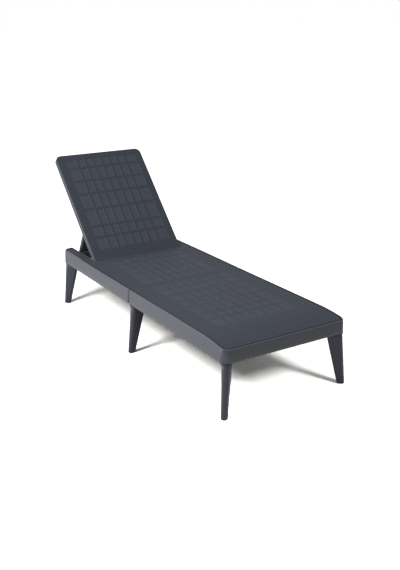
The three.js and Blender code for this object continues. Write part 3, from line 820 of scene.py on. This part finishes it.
# %% Colour and node helpers
def hex_colour(text):
    """sRGB hex to linear: v / 12.92 below 0.04045, else ((v + 0.055) / 1.055) ** 2.4."""
    values = np.array([int(text[i : i + 2], 16) for i in (1, 3, 5)]) / 255
    linear = np.where(values <= 0.04045, values / 12.92, ((values + 0.055) / 1.055) ** 2.4)
    return (*linear.tolist(), 1.0)


def add(tree, kind, inputs=None, **settings):
    """Adds a node: settings are its properties, inputs its sockets by name or number. A socket
    value may be a plain value or another node's output to link from."""
    node = tree.nodes.new(kind)
    for key, value in settings.items():
        setattr(node, key, value)
    for key, value in (inputs or {}).items():
        if isinstance(value, bpy.types.NodeSocket):
            tree.links.new(value, node.inputs[key])
        else:
            node.inputs[key].default_value = value
    return node


print("graphite in linear light", [round(value, 4) for value in hex_colour("#343841")])

# %% A plain finish and its grain
resin_ior = 1.49
grain_size = 5 / 6 * MM  # coarser than the real one, which is finer than a pixel
grain_depth = 0.1 * MM


def new_finish(name, colour, roughness, **shader_values):
    """Material with a Principled shader whose constants sit on its own sockets."""
    material = bpy.data.materials.new(name)
    material.use_nodes = True
    tree = material.node_tree
    tree.nodes.clear()
    inputs = {"Base Color": hex_colour(colour), "Roughness": roughness}
    shader = add(tree, "ShaderNodeBsdfPrincipled", inputs)
    for key, value in shader_values.items():
        shader.inputs[key.replace("_", " ")].default_value = value
    add(tree, "ShaderNodeOutputMaterial", {"Surface": shader.outputs[0]})
    return material, tree, shader


def etched_grain(tree, shader, strength):
    """Bump of a fine noise on Object coordinates, which breaks up the gloss."""
    place = add(tree, "ShaderNodeTexCoord").outputs["Object"]
    inputs = {"Vector": place, "Scale": 1 / grain_size, "Detail": 1.0}
    grain = add(tree, "ShaderNodeTexNoise", inputs)
    inputs = {"Strength": strength, "Distance": grain_depth, "Height": grain.outputs[0]}
    bump = add(tree, "ShaderNodeBump", inputs)
    tree.links.new(bump.outputs[0], shader.inputs["Normal"])


print("grains across a millimetre", round(MM / grain_size, 1))

# %% [markdown]
# ## Woven polypropylene
# The weave is in the mesh, but it is drawn coarse and low, so its finish helps it along. The
# colour follows the relief strongly: painted shade makes the hollows darker and painted light
# makes the pillows lighter. The windows are painted a shade lighter than the strips, a painted
# light for the light their slits catch, and the hollows are rougher than the pillows, because
# nothing rubs them smooth.

# %% Woven finish
hollow_roughness = 0.25  # added in the hollows


def woven_polypropylene(name, strip, window_painted_lighter, roughness, painted_shading_contrast):
    """Colour: the strip or window colour times 1 + painted_shading_contrast * relief, which paints
    shade into the hollows and light onto the pillows; the windows' colour is lighter, painted light
    for their slits. Roughness: the given one on the pillows and hollow_roughness more in the
    hollows."""
    material, tree, shader = new_finish(
        name, strip, roughness, IOR=resin_ior, Specular_IOR_Level=0.25
    )
    window = add(tree, "ShaderNodeAttribute", attribute_name="window").outputs["Fac"]
    relief = add(tree, "ShaderNodeAttribute", attribute_name="relief").outputs["Fac"]
    # painted light: the windows get a lighter colour for the light their slits catch
    inputs = {"Factor": window, "A": hex_colour(strip), "B": hex_colour(window_painted_lighter)}
    base = add(tree, "ShaderNodeMix", inputs, data_type="RGBA")
    # painted shade and painted light: the colour is scaled down in the hollows and up on the pillows
    # Sockets 1 to 4 of a Map Range are from low, from high, to low and to high
    inputs = {0: relief, 1: -1.0, 2: 1.0, 3: 1 - painted_shading_contrast, 4: 1 + painted_shading_contrast}
    painted_shading = add(tree, "ShaderNodeMapRange", inputs, clamp=False)
    inputs = {0: base.outputs["Result"], "Scale": painted_shading.outputs[0]}
    colour = add(tree, "ShaderNodeVectorMath", inputs, operation="SCALE")
    inputs = {0: relief, 1: -1.0, 2: 1.0, 3: roughness + hollow_roughness, 4: roughness}
    rough = add(tree, "ShaderNodeMapRange", inputs)
    tree.links.new(colour.outputs[0], shader.inputs["Base Color"])
    tree.links.new(rough.outputs[0], shader.inputs["Roughness"])
    etched_grain(tree, shader, 0.25)
    return material


deck_weave = woven_polypropylene(
    "etched polypropylene of the deck", "#363a43", "#3d414b", 0.6, 0.55
)
# The backrest's colours are darker than the deck's, a painted shade that holds back the stronger
# light its leaning face catches from the front
back_weave = woven_polypropylene(
    "etched polypropylene of the backrest", "#2f333c", "#393d47", 0.55, 0.6
)
print("woven finishes", deck_weave.name, "and", back_weave.name)

# %% [markdown]
# ## Smooth mouldings, pins and screws
# The faces that nobody lies on come from plainer parts of the same moulds. The apron and the legs
# are satin and show long soft highlights, the ribs below are matt and swallow light, and the pins
# are turned nylon with a slight sheen. Only the screws are metal: stainless steel, with the
# default index of refraction and bright points of light.

# %% Smooth finishes
def satin_polypropylene(name, colour, roughness, gloss=0.4):
    """Plain moulded face with a faint grain."""
    material, tree, shader = new_finish(
        name, colour, roughness, IOR=resin_ior, Specular_IOR_Level=gloss
    )
    etched_grain(tree, shader, 0.15)
    return material


apron_satin = satin_polypropylene("satin polypropylene of the apron", "#343841", 0.27, 0.43)
back_satin = satin_polypropylene("satin polypropylene of the backrest rim", "#33363d", 0.38)
rib_matt = satin_polypropylene("matt polypropylene of the ribs", "#2b2d33", 0.65, 0.2)
leg_satin = satin_polypropylene("satin polypropylene of the legs", "#292c37", 0.36)
stay_satin = satin_polypropylene("satin polypropylene of the stay", "#2b2d34", 0.45, 0.3)
pin_nylon = satin_polypropylene("turned nylon of the pins", "#2e3036", 0.4)
screw_steel, _, _ = new_finish("stainless steel of the screws", "#b0b1b2", 0.3, Metallic=1.0)
print("finishes", len(bpy.data.materials))

# %% Dress every piece
for skin in (foot_skin, head_skin):
    skin.data.materials.append(deck_weave)
    skin.data.materials.append(apron_satin)
back_skin.data.materials.append(back_weave)
back_skin.data.materials.append(back_satin)
for leg in legs:
    leg.data.materials.append(leg_satin)
stay.data.materials.append(stay_satin)
node_finish = {"foot_section": rib_matt, "head_section": rib_matt, "backrest": rib_matt}
for name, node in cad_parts.items():
    finish = node_finish.get(name)
    if finish is None:
        finish = screw_steel if "screw" in name else pin_nylon if "pin" in name else leg_satin
    node.data.materials.clear()
    node.data.materials.append(finish)
print("dressed", len(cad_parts), "nodes of the model")

# %% [markdown]
# ## Floor, light and camera
# The lounger stands on white paper in a bright studio. A ball lamp on the left, near enough for
# its shadows to spread, and a distant soft sun from the right front each cast a shadow. A spot of
# floor is only dark where both are blocked, which gives the pale wedge under the deck. A faintly
# blue softbox on the left brings out the side of the apron, and the floor is flagged off from it,
# so it casts no third shadow. The paper is a faintly warm pale grey to the light that bounces.
# Rays from the camera see it raised, so that it reaches white where a lamp meets it and still
# keeps the shadows, and glossy rays see it white and lit. The camera was fitted to the photo, so
# its focal length and its shift are given in pixels of the photo.

# %% Floor
floor_reach = 60.0
paper_bounce, paper_seen = 0.6, 3.5
paper_tint = (1.0, 0.99, 0.95)
corners = [(x * floor_reach, y * floor_reach, 0) for x, y in ((-1, -1), (1, -1), (1, 1), (-1, 1))]
floor = new_piece("floor", corners, [(0, 1, 2, 3)])


def straight_rays(tree):
    """Outputs of a light path node, and 1 for rays from the camera, also through something."""
    path = add(tree, "ShaderNodeLightPath").outputs
    inputs = {0: path["Is Camera Ray"], 1: path["Is Transmission Ray"]}
    return path, add(tree, "ShaderNodeMath", inputs, operation="MAXIMUM").outputs[0]


floor_paper = bpy.data.materials.new("white studio paper")
floor_paper.use_nodes = True
floor_tree = floor_paper.node_tree
floor_tree.nodes.clear()
path, seen = straight_rays(floor_tree)
inputs = {0: seen, 1: 0.0, 2: 1.0, 3: paper_bounce, 4: paper_seen}
pale = add(floor_tree, "ShaderNodeMapRange", inputs)
inputs = {0: pale.outputs[0], 1: paper_tint, 2: path["Is Glossy Ray"]}
warm = add(floor_tree, "ShaderNodeVectorMath", inputs, operation="MULTIPLY_ADD")
paper = add(floor_tree, "ShaderNodeBsdfDiffuse", {"Color": warm.outputs[0]})
add(floor_tree, "ShaderNodeOutputMaterial", {"Surface": paper.outputs[0]})
floor.data.materials.append(floor_paper)
print("floor", floor_reach * 2, "m wide")

# %% World
studio_light, studio_seen = 0.135, 1.0
world = bpy.data.worlds.new("studio")
bpy.context.scene.world = world
world.use_nodes = True
sky = world.node_tree
sky.nodes.clear()
path, seen = straight_rays(sky)
inputs = {0: seen, 1: path["Is Glossy Ray"]}
bright = add(sky, "ShaderNodeMath", inputs, operation="MAXIMUM")
inputs = {0: bright.outputs[0], 1: 0.0, 2: 1.0, 3: studio_light, 4: studio_seen}
level = add(sky, "ShaderNodeMapRange", inputs)
inputs = {"Color": (1, 1, 1, 1), "Strength": level.outputs[0]}
background = add(sky, "ShaderNodeBackground", inputs)
add(sky, "ShaderNodeOutputWorld", {"Surface": background.outputs[0]})
print("the studio gives", studio_light, "of the white that the camera sees")

# %% Lamps
ball_place, ball_radius = (-2.29, -0.5, 2.32), 0.5
sun_place, sun_width = Vector((0.194, -0.702, 0.685)) * 10, math.radians(14)
softbox_place, softbox_target = (-3.0, 1.2, 0.8), (0, 0, 0.3)
faint_blue = (0.92, 0.955, 1.0)


def new_lamp(name, kind, place, target, **settings):
    """Lamp at place that faces target."""
    lamp = bpy.data.lights.new(name, kind)
    for key, value in settings.items():
        setattr(lamp, key, value)
    holder = bpy.data.objects.new(name, lamp)
    holder.location = place
    holder.rotation_mode = "QUATERNION"
    holder.rotation_quaternion = (Vector(target) - Vector(place)).to_track_quat("-Z", "Y")
    bpy.context.scene.collection.objects.link(holder)
    return holder


middle = (0, 0, 0)
new_lamp("left ball lamp", "POINT", ball_place, middle, energy=240, shadow_soft_size=ball_radius)
new_lamp("right front sun", "SUN", sun_place, middle, energy=1.1, angle=sun_width)
softbox = new_lamp("left softbox", "AREA", softbox_place, softbox_target, shape="RECTANGLE")
softbox.data.size = 3.0
softbox.data.size_y = 1.8
softbox.data.energy = 98
softbox.data.color = faint_blue
flag = bpy.data.collections.new("kept dark by the flag")
flag.objects.link(floor)
flag.collection_objects[0].light_linking.link_state = "EXCLUDE"
softbox.light_linking.receiver_collection = flag
print("lamps", len(bpy.data.lights))

# %% Camera
sensor_width = 36
photo_height = 570
focal_length = 775.34
shift_x, shift_y = 12.27, 23.69
eye_offset = Vector((-1.7865, -2.9208, 1.3233))
roll_angle = math.radians(-0.23)
camera_data = bpy.data.cameras.new("camera")
camera_data.sensor_width = sensor_width
camera_data.lens = focal_length / photo_height * sensor_width
camera_data.shift_x = shift_x / photo_height
camera_data.shift_y = shift_y / photo_height
camera = bpy.data.objects.new("camera", camera_data)
bpy.context.scene.collection.objects.link(camera)
bpy.context.scene.camera = camera
middle_of_deck = Vector((0, seam_y - 17 * MM, 150 * MM))
eye = middle_of_deck + eye_offset
look = (middle_of_deck - eye).to_track_quat("-Z", "Y").to_matrix().to_4x4()
roll = Matrix.Rotation(roll_angle, 4, "Z")
camera.matrix_world = Matrix.Translation(eye) @ look @ roll
bpy.context.scene.view_settings.view_transform = "Standard"
print("camera at", [round(value, 3) for value in eye])
